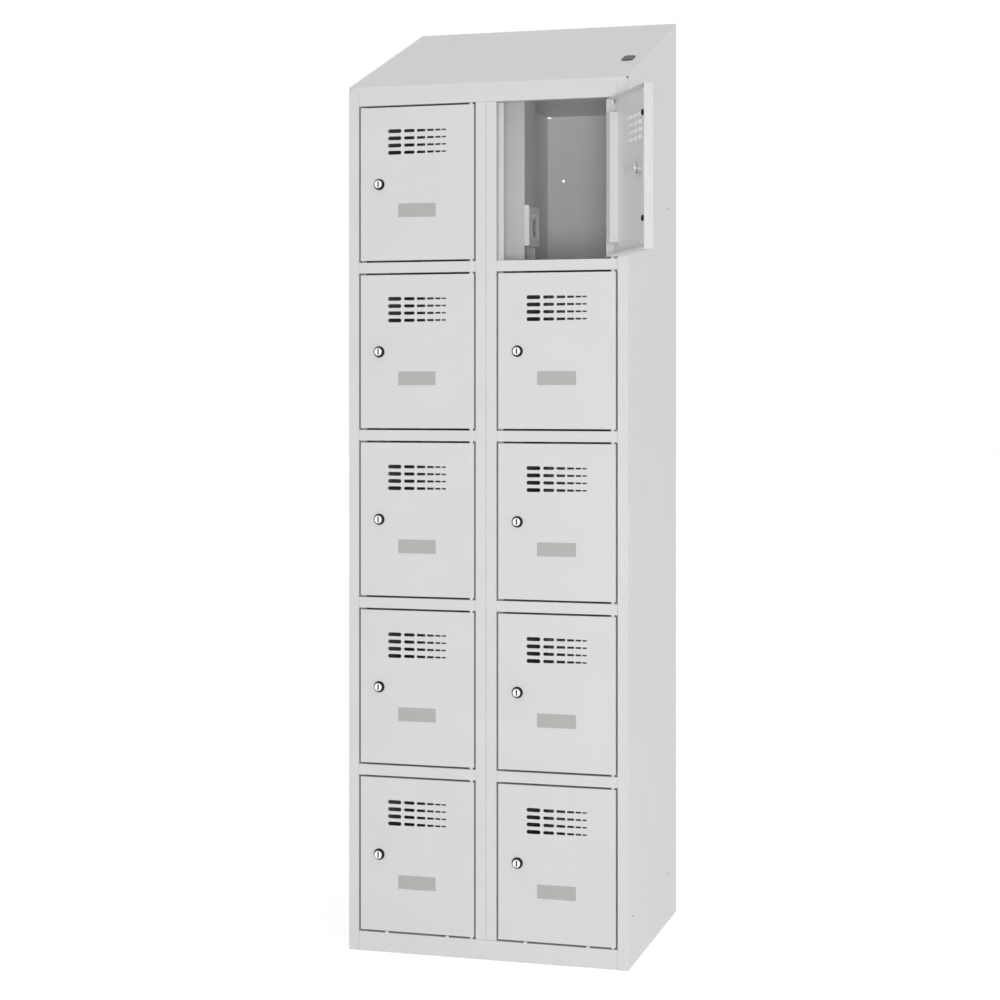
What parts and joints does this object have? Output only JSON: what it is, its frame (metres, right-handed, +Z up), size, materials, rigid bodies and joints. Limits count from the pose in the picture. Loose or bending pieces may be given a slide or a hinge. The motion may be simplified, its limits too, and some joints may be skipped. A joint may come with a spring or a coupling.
{
  "type": "charging cabinet",
  "caption": "Upright steel charging cabinet with a sloping top: lockable, vented compartments in two columns, each with a mains and USB socket on a cable duct.",
  "frame": {"origin": "on the floor under the middle of the cabinet body", "axes": "+Z up, +Y towards the back, +X to the right seen from the front"},
  "size_m": [0.6923, 0.7084, 2],
  "materials": {
    "body_paint": "light grey powder coat, slight texture",
    "door_paint": "light grey powder coat, slight texture",
    "label_metal": "satin, blank",
    "lock_chrome": "dark polished",
    "lock_steel": "bright",
    "socket_plastic": "white, satin",
    "cable_sheath": "white sheath",
    "trunking_plastic": "white",
    "pin_zinc": "zinc plated",
    "cap_plastic": "black",
    "zinc_steel": "galvanised"
  },
  "bodies": {
    "cabinet": {"left_side_panel": "body_paint", "right_side_panel": "body_paint", "left_partition": "body_paint", "right_partition": "body_paint", "back_panel": "body_paint", "top_panel": "body_paint", "bottom_panel": "body_paint", "base_stiffener": "zinc_steel", "sloping_top": "body_paint", "cable_entry_cap": "cap_plastic", "left_shelves": "body_paint", "right_shelves": "body_paint", "left_cable_duct": "body_paint", "right_cable_duct": "body_paint", "socket_frames": "socket_plastic", "socket_inserts": "socket_plastic", "supply_cables": "cable_sheath", "supply_trunking": "trunking_plastic", "hinge_pins": "pin_zinc"},
    "door_left_1": {"left_door_1": "door_paint", "left_label_plate_1": "label_metal", "left_lock_housing_1": "lock_chrome"},
    "lock_left_1": {"left_lock_plug_1": "lock_steel"},
    "door_left_2": {"left_door_2": "door_paint", "left_label_plate_2": "label_metal", "left_lock_housing_2": "lock_chrome"},
    "lock_left_2": {"left_lock_plug_2": "lock_steel"},
    "door_left_3": {"left_door_3": "door_paint", "left_label_plate_3": "label_metal", "left_lock_housing_3": "lock_chrome"},
    "lock_left_3": {"left_lock_plug_3": "lock_steel"},
    "door_left_4": {"left_door_4": "door_paint", "left_label_plate_4": "label_metal", "left_lock_housing_4": "lock_chrome"},
    "lock_left_4": {"left_lock_plug_4": "lock_steel"},
    "door_left_5": {"left_door_5": "door_paint", "left_label_plate_5": "label_metal", "left_lock_housing_5": "lock_chrome"},
    "lock_left_5": {"left_lock_plug_5": "lock_steel"},
    "door_right_1": {"right_door_1": "door_paint", "right_label_plate_1": "label_metal", "right_lock_housing_1": "lock_chrome"},
    "lock_right_1": {"right_lock_plug_1": "lock_steel"},
    "door_right_2": {"right_door_2": "door_paint", "right_label_plate_2": "label_metal", "right_lock_housing_2": "lock_chrome"},
    "lock_right_2": {"right_lock_plug_2": "lock_steel"},
    "door_right_3": {"right_door_3": "door_paint", "right_label_plate_3": "label_metal", "right_lock_housing_3": "lock_chrome"},
    "lock_right_3": {"right_lock_plug_3": "lock_steel"},
    "door_right_4": {"right_door_4": "door_paint", "right_label_plate_4": "label_metal", "right_lock_housing_4": "lock_chrome"},
    "lock_right_4": {"right_lock_plug_4": "lock_steel"},
    "door_right_5": {"right_door_5": "door_paint", "right_label_plate_5": "label_metal", "right_lock_housing_5": "lock_chrome"},
    "lock_right_5": {"right_lock_plug_5": "lock_steel"}
  },
  "joints": [
    {"name": "door_left_1_hinge", "type": "hinge", "parent": "cabinet", "child": "door_left_1", "pos_m": [-0.0332, -0.244, 1.6053], "axis": [0, 0, 1], "range_deg": [0, 120]},
    {"name": "lock_left_1_turn", "type": "hinge", "parent": "door_left_1", "child": "lock_left_1", "pos_m": [-0.2332, -0.25, 1.6047], "axis": [0, -1, 0], "range_deg": [0, 180]},
    {"name": "door_left_2_hinge", "type": "hinge", "parent": "cabinet", "child": "door_left_2", "pos_m": [-0.0332, -0.244, 1.2549], "axis": [0, 0, 1], "range_deg": [0, 120]},
    {"name": "lock_left_2_turn", "type": "hinge", "parent": "door_left_2", "child": "lock_left_2", "pos_m": [-0.2332, -0.25, 1.2543], "axis": [0, -1, 0], "range_deg": [0, 180]},
    {"name": "door_left_3_hinge", "type": "hinge", "parent": "cabinet", "child": "door_left_3", "pos_m": [-0.0332, -0.244, 0.9045], "axis": [0, 0, 1], "range_deg": [0, 120]},
    {"name": "lock_left_3_turn", "type": "hinge", "parent": "door_left_3", "child": "lock_left_3", "pos_m": [-0.2332, -0.25, 0.9039], "axis": [0, -1, 0], "range_deg": [0, 180]},
    {"name": "door_left_4_hinge", "type": "hinge", "parent": "cabinet", "child": "door_left_4", "pos_m": [-0.0332, -0.244, 0.5541], "axis": [0, 0, 1], "range_deg": [0, 120]},
    {"name": "lock_left_4_turn", "type": "hinge", "parent": "door_left_4", "child": "lock_left_4", "pos_m": [-0.2332, -0.25, 0.5535], "axis": [0, -1, 0], "range_deg": [0, 180]},
    {"name": "door_left_5_hinge", "type": "hinge", "parent": "cabinet", "child": "door_left_5", "pos_m": [-0.0332, -0.244, 0.2037], "axis": [0, 0, 1], "range_deg": [0, 120]},
    {"name": "lock_left_5_turn", "type": "hinge", "parent": "door_left_5", "child": "lock_left_5", "pos_m": [-0.2332, -0.25, 0.2031], "axis": [0, -1, 0], "range_deg": [0, 180]},
    {"name": "door_right_1_hinge", "type": "hinge", "parent": "cabinet", "child": "door_right_1", "pos_m": [0.2668, -0.244, 1.6053], "axis": [0, 0, 1], "range_deg": [-120, 0]},
    {"name": "lock_right_1_turn", "type": "hinge", "parent": "door_right_1", "child": "lock_right_1", "pos_m": [0.372, -0.4142, 1.6047], "axis": [0.866, 0.5, 0], "range_deg": [0, 180]},
    {"name": "door_right_2_hinge", "type": "hinge", "parent": "cabinet", "child": "door_right_2", "pos_m": [0.2668, -0.244, 1.2549], "axis": [0, 0, 1], "range_deg": [0, 120]},
    {"name": "lock_right_2_turn", "type": "hinge", "parent": "door_right_2", "child": "lock_right_2", "pos_m": [0.0668, -0.25, 1.2543], "axis": [0, -1, 0], "range_deg": [0, 180]},
    {"name": "door_right_3_hinge", "type": "hinge", "parent": "cabinet", "child": "door_right_3", "pos_m": [0.2668, -0.244, 0.9045], "axis": [0, 0, 1], "range_deg": [0, 120]},
    {"name": "lock_right_3_turn", "type": "hinge", "parent": "door_right_3", "child": "lock_right_3", "pos_m": [0.0668, -0.25, 0.9039], "axis": [0, -1, 0], "range_deg": [0, 180]},
    {"name": "door_right_4_hinge", "type": "hinge", "parent": "cabinet", "child": "door_right_4", "pos_m": [0.2668, -0.244, 0.5541], "axis": [0, 0, 1], "range_deg": [0, 120]},
    {"name": "lock_right_4_turn", "type": "hinge", "parent": "door_right_4", "child": "lock_right_4", "pos_m": [0.0668, -0.25, 0.5535], "axis": [0, -1, 0], "range_deg": [0, 180]},
    {"name": "door_right_5_hinge", "type": "hinge", "parent": "cabinet", "child": "door_right_5", "pos_m": [0.2668, -0.244, 0.2037], "axis": [0, 0, 1], "range_deg": [0, 120]},
    {"name": "lock_right_5_turn", "type": "hinge", "parent": "door_right_5", "child": "lock_right_5", "pos_m": [0.0668, -0.25, 0.2031], "axis": [0, -1, 0], "range_deg": [0, 180]}
  ]
}
